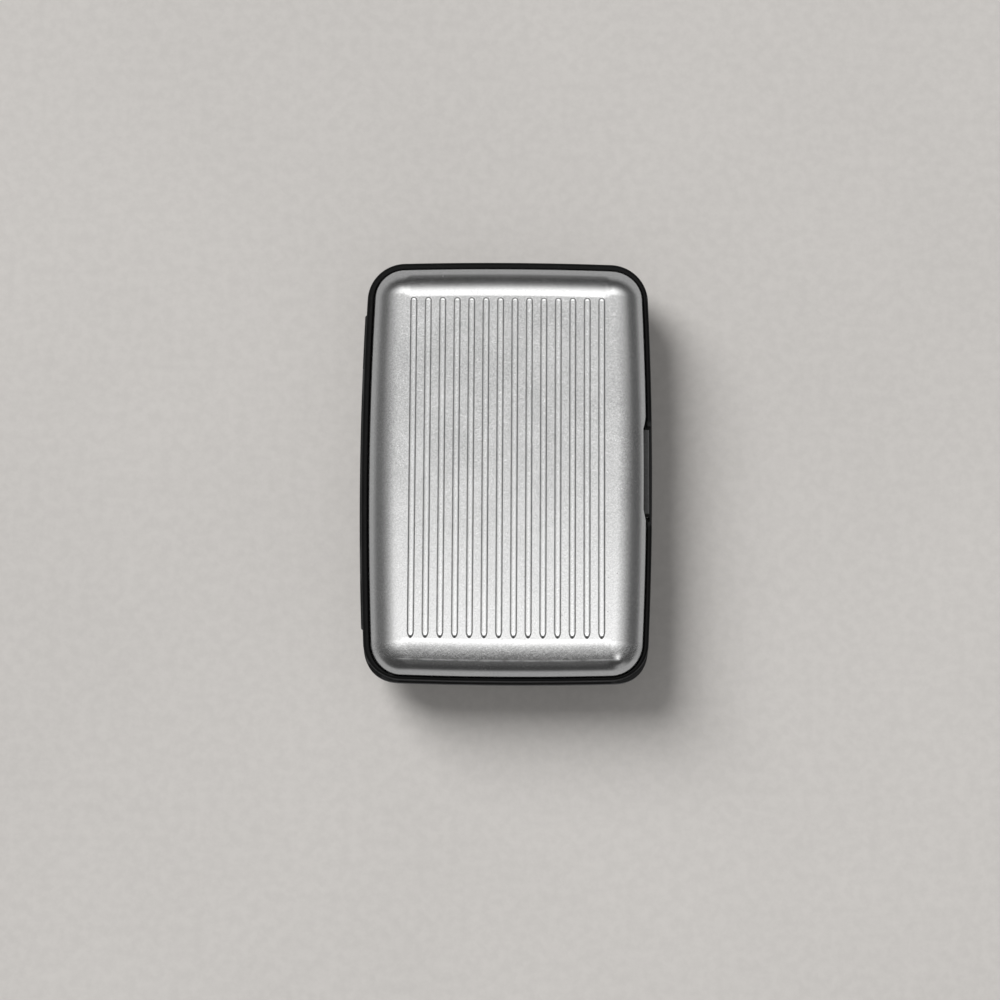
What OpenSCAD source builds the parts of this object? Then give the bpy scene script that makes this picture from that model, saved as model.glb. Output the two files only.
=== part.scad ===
// Hard-shell card case: two ribbed aluminium half shells in plastic frames, joined by a pin hinge,
// closed by a press latch, with an accordion of card pockets inside.
// X runs from the hinge side to the latch side, Y along the hinge, Z up. Millimetres.

/* [Body] */
// Width from the hinge side to the latch side
body_w = 75.5; // [75.25:0.25:76]
// Length along the hinge
body_l = 110.7; // [109.5:0.1:112]
// Thickness over the rib crests
body_h = 20; // [20:0.5:21]
// Radius of the outline's corners
corner_r = 10; // [10:0.25:10.5]
// Radius of the bowed long sides
side_r = 1000; // [950:50:1200]
// Radius of the bowed short sides
end_r = 880; // [850:10:950]

/* [Aluminium shells] */
// Sheet thickness
sheet_t = 0.5; // [0.4:0.1:0.5]
// Number of raised ribs
rib_count = 14; // [8:2:14]
// Distance between rib centres
rib_pitch = 3.75; // [3.5:0.05:3.8]
// Length of a rib
rib_l = 89; // [70:1:89]
// Width of a rib at its foot
rib_w = 1.6; // [1.2:0.1:1.8]
// Width of a rib's crest
rib_crest_w = 0.55; // [0.4:0.05:0.7]
// Height of a rib
rib_h = 0.5; // [0.3:0.1:0.5]

/* [Plastic frames] */
// Height of the band that a frame shows, from the parting plane
band_h = 3.5; // [3.5:0.1:3.6]
// Thickness of the outer wall
outer_wall = 1.9; // [1.9:0.05:2]
// Width of the groove that holds the shell's rim
groove_w = 0.55; // [0.55:0.05:0.6]
// Rounding of the outer edge
edge_r = 1.2; // [0.8:0.1:1.2]
// Gap between the two frames
seam = 0.1; // [0.1:0.02:0.14]

/* [Hinge] */
// Length of the hinge barrel
hinge_l = 83; // [80:1:84]
// Length of the middle knuckle
knuckle_l = 54; // [40:1:56]
// Radius of the barrel at its middle
barrel_r = 2.2; // [2.1:0.05:2.3]
// Radius of the hinge pin
hinge_pin_r = 0.6; // [0.5:0.05:0.65]
// Largest opening angle of the lid, in degrees
open_angle = 54; // [40:1:54]

/* [Latch] */
// Length of the press button along the edge
button_l = 23; // [20:1:24]
// Height of the hook's top above the parting plane
hook_h = 3.9; // [3.6:0.1:4]
// Radius of the latch pin
latch_pin_r = 0.4; // [0.3:0.05:0.4]

/* [Pockets] */
// Thickness of a pocket leaf
leaf_t = 0.4; // [0.3:0.05:0.4]
// Length of a leaf along the hinge
leaf_l = 95; // [88:1:95]
// Width of a leaf
leaf_w = 57; // [55:0.5:57]
// Radius of the thumb notch in a leaf's front edge
thumb_r = 9; // [6:1:10]
// Thickness of the pleated gussets
pleat_t = 0.25; // [0.2:0.05:0.3]
// Depth of a pleat at rest
pleat_d = 4.3; // [3:0.1:5]

/* [Hidden] */
$fn = 96;
eps = 0.01;
over = 1;
mid_z = body_h / 2;

// Outline: four bowed sides joined by four corner arcs, all tangent.
side_c = side_r - body_w / 2;
end_c = end_r - body_l / 2;
function corner_x(y) = sqrt(pow(side_r - corner_r, 2) - y * y) - side_c;
function corner_y(n, y) = n == 0 ? y
    : corner_y(n - 1, sqrt(pow(end_r - corner_r, 2) - pow(corner_x(y), 2)) - end_c);
cy = corner_y(5, body_l / 2 - corner_r);
cx = corner_x(cy);
side_a = asin(cy / (side_r - corner_r));
end_a = asin(cx / (end_r - corner_r));
corner_steps = 8;
side_steps = 6;
end_steps = 4;

// Shell section: a vertical rim, a tight arc and a wide arc, tangent to each other and to the panel.
inner_wall = 3.6;
rim_h = 2.3;
dome_w = 8;
dome_h = mid_z - rib_h - band_h;
tight_r = 4.5;
wide_r = (pow(dome_w - tight_r, 2) + dome_h * dome_h - tight_r * tight_r) / (2 * (dome_h - tight_r));
tight_at = [outer_wall + tight_r, band_h];
wide_at = [outer_wall + dome_w, band_h + dome_h - wide_r];
join_a = atan2(tight_at[1] - wide_at[1], wide_at[0] - tight_at[0]);
dome_steps = 4;
panel_z = band_h + dome_h;

// Frames
groove_floor = band_h - rim_h;
inner_wall_top = 5;
inner_bevel = 0.45;
parting_bevel = 0.2;
edge_steps = 5;
fill_lap = 0.3;
rim_play = 0.1;

// Hinge
axis_inset = 1.7;
axis_x = -(body_w / 2 - axis_inset);
crown_r = side_r;
barrel_gap = 0.2;
knuckle_gap = 0.2;
pin_gap = 0.05;
pin_recess = 0.3;
barrel_bevel = 0.4;
barrel_steps = 6;
hinge_rim_h = 3;
hinge_notch_gap = 0.5;
hinge_notch = hinge_l + 2 * hinge_notch_gap;
relief_l = 11;
relief_x = 3.2;
relief_spare_a = 1;
relief_a = open_angle / 2 + relief_spare_a;

// Latch. Heights are from the parting plane, up into the lid and down into the base; insets are from
// the latch side's edge.
edge_x = body_w / 2;
latch_pin_inset = 1.35;
latch_x = edge_x - latch_pin_inset;
latch_z = -2;
button_floor = -2.85;
button_top = -0.25;
pocket_floor = -3.05;
pocket_inset = 2.4;
pocket_x = edge_x - pocket_inset;
pocket_side = 0.25;
button_inset = 2.1;
button_x = edge_x - button_inset;
face_inset = 0.1;
face_x = edge_x - face_inset;
button_bevel = 0.3;
hook_inset = 1.25;
hook_x = edge_x - hook_inset;
lip_t = 1;
lip_x = edge_x - lip_t;
lip_h = 2;
lip_bevel = 0.5;
head_inset = 2.4;
head_x = edge_x - head_inset;
head_z = 2.4;
head_r = 0.4;
window_l = 24.4;
window_inset = 3.15;
window_x = edge_x - window_inset;
shell_notch_l = 25.4;
shell_notch_h = 4.8;
base_notch_l = 28.6;
base_notch_h = 3.4;
latch_pin_l = 26.8;
spring_t = 0.15;
spring_l = 15.2;
spring_sag = 0.65;
spring_low = -1.5;
spring_high = -0.3;
chamber_l = 16.4;
chamber_low = -1.8;
spring_r = (pow(spring_l / 2, 2) + spring_sag * spring_sag) / (2 * spring_sag);
chamber_x = button_x - spring_sag - spring_t;

// Pockets. Heights are from the floor.
leaf_count = 7;
first_leaf_z = 2;
leaf_pitch = (body_h - 2 * first_leaf_z - leaf_t) / (leaf_count - 1);
spine_x = -31;
leaf_corner = 5;
fold_gap = 0.04;
spine_t = 0.25;
spine_l = 93;
pleat_w = 55;
liner_w = 53.4;
liner_l = 88.8;
liner_corner = 4;
lid_liner_gap = 0.05;

aluminium = [0.72, 0.72, 0.71];
black_plastic = [0.08, 0.08, 0.085];
steel = [0.6, 0.6, 0.6];
leaf_black = [0.12, 0.12, 0.13];
pleat_black = [0.09, 0.09, 0.1];

// Everything from here is drawn for the lid, up from the parting plane; the base is its mirror.
module lid_place() {
    translate([0, 0, mid_z]) children();
}

module base_place() {
    translate([0, 0, mid_z]) mirror([0, 0, 1]) children();
}

// Points of the outline moved in by an inset, counter-clockwise, as many on every inset.
function arc_part(centre, r, from, to, first, last, steps) = [for (i = [first : last])
    centre + r * [cos(from + i * (to - from) / steps), sin(from + i * (to - from) / steps)]];
function side_part(centre, r, mid, half, steps) =
    arc_part(centre, r, mid - half, mid + half, 1, steps - 1, steps);
function corner_part(centre, r, from, to) =
    arc_part(centre, r, from, to, 0, corner_steps, corner_steps);
function outline_points(inset) = concat(
    side_part([-side_c, 0], side_r - inset, 0, side_a, side_steps),
    corner_part([cx, cy], corner_r - inset, side_a, 90 - end_a),
    side_part([0, -end_c], end_r - inset, 90, end_a, end_steps),
    corner_part([-cx, cy], corner_r - inset, 90 + end_a, 180 - side_a),
    side_part([side_c, 0], side_r - inset, 180, side_a, side_steps),
    corner_part([-cx, -cy], corner_r - inset, 180 + side_a, 270 - end_a),
    side_part([0, end_c], end_r - inset, 270, end_a, end_steps),
    corner_part([cx, -cy], corner_r - inset, 270 + end_a, 360 - side_a));

// The dome's section at a depth below its outer face, as (inset, height) from the rim to the panel.
function dome_arc(centre, r, from, to) = [for (i = [1 : dome_steps])
    centre + r * [-cos(from + i * (to - from) / dome_steps), sin(from + i * (to - from) / dome_steps)]];
function dome_section(depth) = concat(
    [[outer_wall + depth, groove_floor], [outer_wall + depth, band_h]],
    dome_arc(tight_at, tight_r - depth, 0, join_a),
    dome_arc(wide_at, wide_r - depth, join_a, 90));

// A closed section of (inset, height) carried around the outline, ring by ring. With a cap ring,
// the rings at cap and cap + 1 are closed by flat panels instead of being joined to each other.
module loft(section, cap = -1) {
    rings = len(section);
    count = len(outline_points(0));
    points = [for (q = section) for (p = outline_points(q[0])) [p[0], p[1], q[1]]];
    bands = [for (r = [0 : rings - 1]) if (r != cap) for (i = [0 : count - 1])
        [r * count + i, (r + 1) % rings * count + i,
            (r + 1) % rings * count + (i + 1) % count, r * count + (i + 1) % count]];
    panels = cap < 0 ? [] : [
        [for (i = [0 : count - 1]) cap * count + count - 1 - i],
        [for (i = [0 : count - 1]) (cap + 1) * count + i]];
    polyhedron(points, concat(bands, panels));
}

module sheet() {
    outer = dome_section(0);
    inner = dome_section(sheet_t);
    last = len(inner) - 1;
    loft(concat(outer, [for (i = [0 : last]) inner[last - i]]), last);
}

module rib() {
    run = rib_l / 2 - rib_w / 2;
    translate([0, run, 0])
        rotate([90, 0, 0])
            linear_extrude(2 * run)
                polygon([[-rib_w / 2, -eps], [rib_w / 2, -eps], [rib_w / 2, 0],
                    [rib_crest_w / 2, rib_h], [-rib_crest_w / 2, rib_h], [-rib_w / 2, 0]]);
    for (s = [-1, 1])
        translate([0, s * run, 0]) {
            cylinder(h = rib_h, r1 = rib_w / 2, r2 = rib_crest_w / 2);
            translate([0, 0, -eps]) cylinder(h = eps, r = rib_w / 2);
        }
}

module shell() {
    sheet();
    for (i = [0 : rib_count - 1])
        translate([(i - (rib_count - 1) / 2) * rib_pitch, 0, panel_z]) rib();
}

// The rim is cut back over the hinge barrel and around the latch.
module rim_notch(x, length, top) {
    depth = 4 * outer_wall;
    translate([x - depth / 2, -length / 2, 0]) cube([depth, length, top]);
}

// A frame's section: an outer wall with a rounded edge, the groove for the shell's rim, an inner wall.
module frame_body() {
    groove_x = outer_wall + groove_w;
    loft(concat(
        [[parting_bevel, seam / 2], [0, seam / 2 + parting_bevel]],
        [for (i = [0 : edge_steps]) [edge_r * (1 - cos(i * 90 / edge_steps)),
            band_h - edge_r * (1 - sin(i * 90 / edge_steps))]],
        [[outer_wall, band_h], [outer_wall, groove_floor], [groove_x, groove_floor],
            [groove_x, band_h], [groove_x + inner_bevel, inner_wall_top],
            [inner_wall, inner_wall_top], [inner_wall, seam / 2]]));
}

// Closes the groove where the shell's rim is cut back.
module groove_fill(half_length, high) {
    half_a = asin(half_length / side_r);
    outer = arc_part([-side_c, 0], side_r - outer_wall + fill_lap, -half_a, half_a, 0, side_steps, side_steps);
    inner = arc_part([-side_c, 0], side_r - outer_wall - groove_w - fill_lap, half_a, -half_a, 0,
        side_steps, side_steps);
    translate([0, 0, groove_floor - fill_lap])
        linear_extrude(high - groove_floor + fill_lap) polygon(concat(outer, inner));
}

// The crowned hinge barrel between two stations along the axis.
function crown(y) = barrel_r - y * y / (2 * crown_r);
module barrel(grow, low, high) {
    step = (high - low) / barrel_steps;
    translate([axis_x, 0, 0])
        rotate([90, 0, 0])
            mirror([0, 0, 1])
                rotate_extrude()
                    polygon(concat([[0, low]],
                        [for (i = [0 : barrel_steps]) [crown(low + i * step) + grow, low + i * step]],
                        [[0, high]]));
}

module end_knuckle(s) {
    inner = (knuckle_l + knuckle_gap) / 2;
    outer = hinge_l / 2 - barrel_bevel;
    tip_r = crown(outer);
    barrel(0, s < 0 ? -outer : inner, s < 0 ? -inner : outer);
    translate([axis_x, s * outer, 0])
        rotate([-90 * s, 0, 0])
            cylinder(h = barrel_bevel, r1 = tip_r, r2 = tip_r - barrel_bevel);
}

module hinge_bore(r) {
    translate([axis_x, 0, 0])
        rotate([90, 0, 0])
            cylinder(h = hinge_l + 2 * over, r = r, center = true);
}

// Bevels past the barrel's ends, which let the lid's rear corners swing down.
module rear_relief() {
    for (s = [-1, 1])
        translate([axis_x, s * (hinge_l / 2 + relief_l / 2), seam / 2])
            rotate([90, 0, 0])
                linear_extrude(relief_l, center = true)
                    polygon([[0, -eps], [0, 0], [-relief_x, relief_x * tan(relief_a)], [-relief_x, -eps]]);
}

module base_shell() {
    color(aluminium) base_place()
        difference() {
            shell();
            rim_notch(-edge_x, hinge_notch, hinge_rim_h);
            rim_notch(edge_x, base_notch_l, base_notch_h);
        }
}

module lid_shell() {
    color(aluminium) lid_place()
        difference() {
            shell();
            rim_notch(-edge_x, hinge_notch, hinge_rim_h);
            rim_notch(edge_x, shell_notch_l, shell_notch_h);
        }
}

module latch_bore(r, length) {
    translate([latch_x, 0, latch_z])
        rotate([90, 0, 0])
            cylinder(h = length, r = r, center = true);
}

module base_frame_solid() {
    difference() {
        union() {
            frame_body();
            mirror([1, 0, 0]) groove_fill(hinge_notch / 2 - rim_play, hinge_rim_h);
            groove_fill(base_notch_l / 2 - rim_play, base_notch_h);
        }
        barrel(barrel_gap, -(knuckle_l + knuckle_gap) / 2, (knuckle_l + knuckle_gap) / 2);
        rear_relief();
    }
    for (s = [-1, 1])
        end_knuckle(s);
}

module base_frame() {
    color(black_plastic)
        difference() {
            base_place() base_frame_solid();
            lid_place() {
                hinge_bore(hinge_pin_r);
                latch_bore(latch_pin_r, latch_pin_l);
                translate([pocket_x, -button_l / 2 - pocket_side, pocket_floor])
                    cube([edge_x, button_l + 2 * pocket_side, -pocket_floor]);
                translate([chamber_x, -chamber_l / 2, chamber_low])
                    cube([edge_x, chamber_l, -chamber_low]);
            }
        }
}

module lid_frame() {
    color(black_plastic) lid_place()
        difference() {
            union() {
                difference() {
                    union() {
                        frame_body();
                        mirror([1, 0, 0]) groove_fill(hinge_notch / 2 - rim_play, hinge_rim_h);
                    }
                    for (s = [-1, 1])
                        barrel(barrel_gap, s < 0 ? -hinge_l / 2 - barrel_gap : knuckle_l / 2,
                            s < 0 ? -knuckle_l / 2 : hinge_l / 2 + barrel_gap);
                    rear_relief();
                }
                barrel(0, -knuckle_l / 2, knuckle_l / 2);
            }
            hinge_bore(hinge_pin_r + pin_gap);
            translate([window_x, -window_l / 2, 0])
                cube([lip_x - window_x, window_l, inner_wall_top + over]);
            rotate([90, 0, 0])
                linear_extrude(window_l, center = true)
                    polygon([[lip_x - eps, lip_h], [edge_x - lip_bevel, lip_h],
                        [edge_x + band_h, lip_h - lip_bevel - band_h], [edge_x + band_h, 2 * band_h],
                        [lip_x - eps, 2 * band_h]]);
        }
}

module liner(thickness) {
    linear_extrude(thickness) rounded_plate(liner_w, liner_l, liner_corner);
}

module rounded_plate(w, l, r) {
    square([w - 2 * r, l], center = true);
    square([w, l - 2 * r], center = true);
    for (sx = [-1, 1], sy = [-1, 1])
        translate([sx * (w / 2 - r), sy * (l / 2 - r)]) circle(r);
}

module base_liner() {
    low = mid_z - panel_z + sheet_t;
    color(leaf_black) translate([0, 0, low]) liner(first_leaf_z - low);
}

module lid_liner() {
    high = mid_z + panel_z - sheet_t;
    low = body_h - first_leaf_z + lid_liner_gap;
    color(leaf_black) translate([0, 0, low]) liner(high - low);
}

module hinge_pin() {
    color(steel) lid_place()
        translate([axis_x, 0, 0])
            rotate([90, 0, 0])
                cylinder(h = hinge_l - 2 * pin_recess, r = hinge_pin_r, center = true);
}

module latch_pin() {
    color(steel) lid_place() latch_bore(latch_pin_r, latch_pin_l);
}

// A bowed leaf that pushes the button outwards.
module latch_spring() {
    color(steel) lid_place()
        translate([button_x - spring_r, 0, spring_low])
            intersection() {
                difference() {
                    cylinder(h = spring_high - spring_low, r = spring_r);
                    translate([0, 0, -over])
                        cylinder(h = spring_high - spring_low + 2 * over, r = spring_r - spring_t);
                }
                translate([0, -spring_l / 2, -over])
                    cube([spring_r + over, spring_l, spring_high - spring_low + 2 * over]);
            }
}

module latch_button() {
    color(black_plastic) lid_place()
        difference() {
            rotate([90, 0, 0])
                linear_extrude(button_l, center = true) button_section();
            latch_bore(latch_pin_r + pin_gap, button_l + 2 * over);
        }
}

module button_section() {
    polygon([[button_x, button_floor + 2 * button_bevel], [button_x + button_bevel, button_floor],
        [face_x - button_bevel, button_floor], [face_x, button_floor + button_bevel],
        [face_x, button_top], [hook_x, button_top],
        [hook_x, hook_h - head_r], [button_x, hook_h - head_r], [button_x, 0]]);
    translate([head_x, head_z]) square([hook_x - head_x - head_r, hook_h - head_z - head_r]);
    translate([head_x + head_r, head_z]) square([hook_x - head_x - 2 * head_r, hook_h - head_z]);
    for (x = [head_x + head_r, hook_x - head_r])
        translate([x, hook_h - head_r]) circle(head_r);
}

module pocket_leaf(k) {
    color(leaf_black) translate([spine_x + leaf_w / 2, 0, first_leaf_z + (k - 1) * leaf_pitch])
        linear_extrude(leaf_t)
            difference() {
                rounded_plate(leaf_w, leaf_l, leaf_corner);
                translate([leaf_w / 2, 0]) circle(thumb_r);
            }
}

// Two side pleats folded inwards and the strip that closes the pocket's rear edge.
module pocket_gusset(k) {
    low = first_leaf_z + (k - 1) * leaf_pitch + leaf_t + fold_gap;
    high = first_leaf_z + k * leaf_pitch - fold_gap;
    mid = (low + high) / 2;
    rim = leaf_l / 2 - fold_gap;
    fold = rim - pleat_d;
    color(pleat_black) {
        for (s = [0, 1])
            mirror([0, s, 0])
                translate([spine_x, 0, 0])
                    rotate([90, 0, 90])
                        linear_extrude(pleat_w)
                            polygon([[rim, low], [fold, mid], [rim, high],
                                [rim - 2 * pleat_t, high], [fold - 2 * pleat_t, mid],
                                [rim - 2 * pleat_t, low]]);
        translate([spine_x, -spine_l / 2, low]) cube([spine_t, spine_l, high - low]);
    }
}

base_shell();
base_frame();
base_liner();
hinge_pin();
latch_pin();
latch_spring();
latch_button();
lid_shell();
lid_frame();
lid_liner();
pocket_leaf(1);  // pocket_leaf_1
pocket_leaf(2);  // pocket_leaf_2
pocket_leaf(3);  // pocket_leaf_3
pocket_leaf(4);  // pocket_leaf_4
pocket_leaf(5);  // pocket_leaf_5
pocket_leaf(6);  // pocket_leaf_6
pocket_leaf(7);  // pocket_leaf_7
pocket_gusset(1);  // pocket_gusset_1
pocket_gusset(2);  // pocket_gusset_2
pocket_gusset(3);  // pocket_gusset_3
pocket_gusset(4);  // pocket_gusset_4
pocket_gusset(5);  // pocket_gusset_5
pocket_gusset(6);  // pocket_gusset_6
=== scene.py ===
import functools
import math

import bmesh
import bpy
import numpy as np
from mathutils import Matrix, Vector


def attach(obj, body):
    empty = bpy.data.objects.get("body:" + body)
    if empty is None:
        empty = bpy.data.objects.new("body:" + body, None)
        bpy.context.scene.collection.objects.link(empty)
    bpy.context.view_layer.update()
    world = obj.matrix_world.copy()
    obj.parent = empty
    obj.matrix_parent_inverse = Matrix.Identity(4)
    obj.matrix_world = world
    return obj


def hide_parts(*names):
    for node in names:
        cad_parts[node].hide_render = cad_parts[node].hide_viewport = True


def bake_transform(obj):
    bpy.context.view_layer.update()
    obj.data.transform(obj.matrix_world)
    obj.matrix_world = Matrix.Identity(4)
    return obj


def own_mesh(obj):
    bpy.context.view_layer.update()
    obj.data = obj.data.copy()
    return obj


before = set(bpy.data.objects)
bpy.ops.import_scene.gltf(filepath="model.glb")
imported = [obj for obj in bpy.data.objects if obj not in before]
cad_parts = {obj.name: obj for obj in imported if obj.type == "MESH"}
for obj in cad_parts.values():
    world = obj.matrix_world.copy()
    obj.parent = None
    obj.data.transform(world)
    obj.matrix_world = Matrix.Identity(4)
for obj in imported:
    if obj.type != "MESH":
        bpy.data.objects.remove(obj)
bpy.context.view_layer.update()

# All shapes are worked out in millimetres in the CAD frame, and scaled as each mesh is made.
MM = 0.001

# The parting plane's height, the outline's half width and half length, and the radii of its bowed long
# sides, bowed short sides and corners, with the distances of the bows' centres from the origin.
MID_Z = 10.0
HALF_W, HALF_L = 37.75, 55.35
SIDE_R, END_R, CORNER_R = 1000.0, 880.0, 10.0
SIDE_C, END_C = SIDE_R - HALF_W, END_R - HALF_L
CORNER_ROUNDS = 6


def corner_centre():
    """Centre of the corner arc that is tangent to both bowed sides, found in a few rounds."""
    y = HALF_L - CORNER_R
    for _ in range(CORNER_ROUNDS):
        x = math.sqrt((SIDE_R - CORNER_R) ** 2 - y * y) - SIDE_C
        y = math.sqrt((END_R - CORNER_R) ** 2 - x * x) - END_C
    return x, y


CORNER_X, CORNER_Y = corner_centre()
SIDE_A = math.asin(CORNER_Y / (SIDE_R - CORNER_R))
END_A = math.asin(CORNER_X / (END_R - CORNER_R))

# Heights above the parting plane of the frames' band, the shells' panel and their rim's lower edge, and
# the thicknesses of the frames' outer wall and the shells' sheet.
BAND_H = 3.5
PANEL_H = 9.5
RIM_H = 1.2
OUTER_WALL = 1.9
SHEET = 0.5


# ---------------------------------------------------------------- mesh helpers


def make_object(name, verts, faces, material, sharp=35.0):
    """A mesh object from points in millimetres, smooth-shaded except over edges sharper than an angle."""
    mesh = bpy.data.meshes.new(name)
    mesh.from_pydata((np.asarray(verts, float) * MM).tolist(), [], faces)
    bm = bmesh.new()
    bm.from_mesh(mesh)
    bmesh.ops.remove_doubles(bm, verts=bm.verts, dist=1e-7)
    bmesh.ops.recalc_face_normals(bm, faces=bm.faces)
    bm.to_mesh(mesh)
    bm.free()
    obj = bpy.data.objects.new(name, mesh)
    bpy.context.scene.collection.objects.link(obj)
    if material:
        mesh.materials.append(material)
    shade(obj, sharp)
    return obj


def shade(obj, sharp=35.0):
    """Smooth shading, except over edges sharper than an angle."""
    obj.data.shade_smooth()
    obj.data.set_sharp_from_angle(angle=math.radians(sharp))


def apply_modifiers(obj):
    """Turns the object's modified shape into its mesh."""
    depsgraph = bpy.context.evaluated_depsgraph_get()
    mesh = bpy.data.meshes.new_from_object(obj.evaluated_get(depsgraph))
    mesh.name = obj.name
    obj.modifiers.clear()
    obj.data = mesh


def boolean(obj, others, operation):
    """Joins or cuts obj with each of the others, which are removed."""
    for other in others:
        mod = obj.modifiers.new("cut", "BOOLEAN")
        mod.operation = operation
        mod.solver = "EXACT"
        mod.object = other
    apply_modifiers(obj)
    for other in others:
        bpy.data.objects.remove(other)


def bevel(obj, width, segments=2, angle=40.0):
    """Rounds the edges that are sharper than an angle."""
    mod = obj.modifiers.new("bevel", "BEVEL")
    mod.width = width * MM
    mod.segments = segments
    mod.limit_method = "ANGLE"
    mod.angle_limit = math.radians(angle)
    mod.harden_normals = False
    mod.use_clamp_overlap = True
    apply_modifiers(obj)


def place(obj, body, slot, *nodes):
    """The piece rides on a body and stands for CAD nodes; slot is not used."""
    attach(obj, body)
    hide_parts(*nodes)
    return obj


def flip(points, side):
    """Points given from the parting plane, placed up into the lid (side 1) or down into the base (-1)."""
    points = np.array(points, float)
    points[:, 2] = MID_Z + side * points[:, 2]
    return points


def loft(rings, closed=False, caps=False):
    """Faces over rings of as many points each; closed joins the last ring to the first."""
    count = len(rings[0])
    faces = []
    for r in range(len(rings) if closed else len(rings) - 1):
        a, b = r * count, (r + 1) % len(rings) * count
        for i in range(count):
            j = (i + 1) % count
            faces.append((a + i, b + i, b + j, a + j))
    if caps:
        faces.append(tuple(range(count)))
        faces.append(tuple(range((len(rings) - 1) * count, len(rings) * count)))
    return np.concatenate(rings), faces


def extrude(profile, low, high, axis="y"):
    """A closed prism: a profile of (x, z) run along y, or of (x, y) run along z."""
    profile = np.array(profile, float)
    rings = []
    for level in (low, high):
        fixed = np.full(len(profile), level)
        across, along = profile[:, 0], profile[:, 1]
        columns = (across, fixed, along) if axis == "y" else (across, along, fixed)
        rings.append(np.stack(columns, 1))
    return loft(rings, caps=True)


def revolve(profile, centre, steps=64):
    """A closed solid turned about an axis along y at centre (x, z); profile holds its (radius, y) points."""
    rings = []
    for radius, y in profile:
        angles = np.arange(steps) * 2 * math.pi / steps
        x, z = centre[0] + radius * np.cos(angles), centre[1] + radius * np.sin(angles)
        rings.append(np.stack([x, np.full(steps, y), z], 1))
    return loft(rings, caps=True)


# ---------------------------------------------------------------- outline


class Ring:
    """Stations around the outline: a side number, a share along the side and an angle at each."""

    def __init__(self, side_t, end_t, corner_steps):
        corner_t = np.arange(1, corner_steps) / corner_steps
        side_t, end_t = np.asarray(side_t, float), np.asarray(end_t, float)
        stations = []
        for side, ts in enumerate((side_t, end_t, side_t, end_t)):
            stations += [("side", side, t) for t in ts]
            stations += [("corner", side, t) for t in corner_t]
        self.stations = stations
        self.count = len(stations)

    def points(self, inset):
        """The (x, y) points at an inset, which may be an array with one value a station."""
        inset = np.broadcast_to(np.asarray(inset, float), (self.count,))
        out = np.zeros((self.count, 2))
        halves = (SIDE_A, END_A)
        for i, (kind, side, t) in enumerate(self.stations):
            if kind == "side":
                half = halves[side % 2]
                angle = side * math.pi / 2 + t * half
                centre = ((-SIDE_C, 0), (0, -END_C), (SIDE_C, 0), (0, END_C))[side]
                radius = (SIDE_R if side % 2 == 0 else END_R) - inset[i]
            else:
                start = side * math.pi / 2 + halves[side % 2]
                end = (side + 1) * math.pi / 2 - halves[(side + 1) % 2]
                angle = start + t * (end - start)
                centre = (
                    CORNER_X * (1 if side in (0, 3) else -1),
                    CORNER_Y * (1 if side in (0, 1) else -1),
                )
                radius = CORNER_R - inset[i]
            out[i] = centre[0] + radius * math.cos(angle), centre[1] + radius * math.sin(angle)
        return out

    def spread(self, sides, corners=(0, 0, 0, 0)):
        """A value at each station: one a side, run into the next over each corner, with a swell there."""
        out = []
        for kind, side, t in self.stations:
            if kind == "side":
                out.append(sides[side])
            else:
                ease = t * t * (3 - 2 * t)
                following = sides[(side + 1) % 4]
                swell = 16 * t * t * (1 - t) ** 2
                out.append(sides[side] * (1 - ease) + following * ease + swell * corners[side])
        return np.array(out, float)


# ---------------------------------------------------------------- aluminium shells


class Section:
    """The shell's section: a vertical rim, a tight arc and a wide arc up to the panel's border.

    The wide arc meets the panel at an inset, level with it or at a slope, which leaves a soft crease.
    """

    def __init__(self, tight_r, border, crease):
        s, k = math.sin(crease), math.cos(crease)
        self.tight_r = tight_r
        self.tight = (OUTER_WALL + tight_r, BAND_H)
        a, b = border - self.tight[0], PANEL_H - BAND_H
        self.wide_r = (tight_r**2 - a * a - b * b) / (2 * (a * s - b * k + tight_r))
        self.wide = (border + self.wide_r * s, PANEL_H - self.wide_r * k)
        self.border = border
        self.join = math.atan2(self.tight[1] - self.wide[1], self.wide[0] - self.tight[0])

    def at(self, turn, depth=0.0):
        """(inset, height) where the sheet has turned by an angle from upright."""
        centre, radius = (self.tight, self.tight_r) if turn <= self.join else (self.wide, self.wide_r)
        radius -= depth
        return centre[0] - radius * math.cos(turn), centre[1] + radius * math.sin(turn)

    def height(self, inset):
        """Height of the wide arc above the parting plane at an inset, level beyond the border."""
        over = self.wide[0] - np.minimum(inset, self.border)
        return self.wide[1] + np.sqrt(self.wide_r**2 - over**2)

    def turn(self, inset):
        """How far the sheet has turned from upright at an inset on the wide arc."""
        return math.acos((self.wide[0] - inset) / self.wide_r)


SIDE_SECTION = Section(4.7, 9.9, 0.0)
END_SECTION = Section(4.9, 10.45, math.radians(2.8))
# Inset at which the rings of the rounded border give way to the panel's grid.
GRID_INSET = 9.9
CORNER_STEPS = 14
SMALLEST_CORNER_R = 0.02

# How much thinner the wall between the outline and the shell is, at +X, +Y, -X and -Y and at the corners
# between them.
WALL_SHIFT = ((0.42, -0.1, 0.0, 0.55), (0.0, 0.0, 0.0, 0.0))
WALL_SHIFT_REACH = 6.5

# Place, radius and height of a knock on the lid's shell.
KNOCK_X, KNOCK_Y, KNOCK_R, KNOCK_H = 28.9, -50.3, 1.3, 0.58

# How far the rim's cut at the latch is rounded at its ends: where it starts and over what length.
CUT_ROUND_FROM, CUT_ROUND = 0.9, 1.2

RIB_COUNT = 14
RIB_PITCH = 3.75
# Half widths of a rib's foot and crest, its height and the crown of its crest.
RIB_HALF = 0.91
RIB_CREST = 0.6
RIB_H = 0.46
RIB_CROWN = 0.07
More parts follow.
